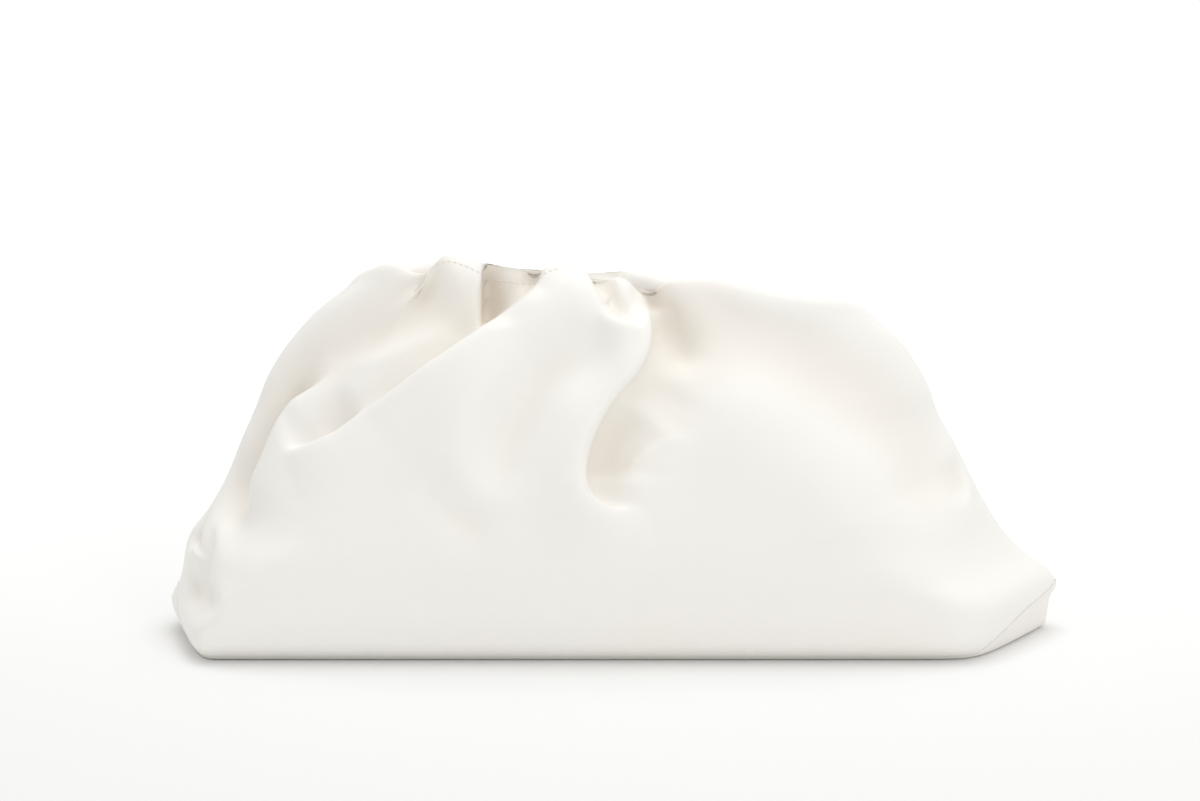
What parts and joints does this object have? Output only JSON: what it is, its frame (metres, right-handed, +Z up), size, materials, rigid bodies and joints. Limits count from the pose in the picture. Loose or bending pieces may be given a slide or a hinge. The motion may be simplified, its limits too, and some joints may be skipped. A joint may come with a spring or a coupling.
{
  "type": "pouch bag",
  "caption": "Soft leather pouch clutch, gathered to a long rolled mouth over a hidden frame ring, with a flat base and pointed gusset ends.",
  "frame": {"origin": "on the standing surface, at the middle of the bag's box", "axes": "+X to the right seen from the front, +Y to the back, +Z up; the front, with the long diagonal pleat, faces -Y"},
  "size_m": [0.3835, 0.1363, 0.1655],
  "materials": {
    "body_leather": "smooth off-white full-grain nappa, satin",
    "base_leather": "smooth off-white full-grain nappa, satin",
    "facing_leather": "smooth off-white leather, matt",
    "frame_steel": "plain nickel-plated spring steel strip"
  },
  "bodies": {
    "root": {"leather_body": "body_leather", "base_panel": "base_leather", "mouth_facing": "facing_leather", "mouth_frame": "frame_steel"}
  },
  "joints": []
}
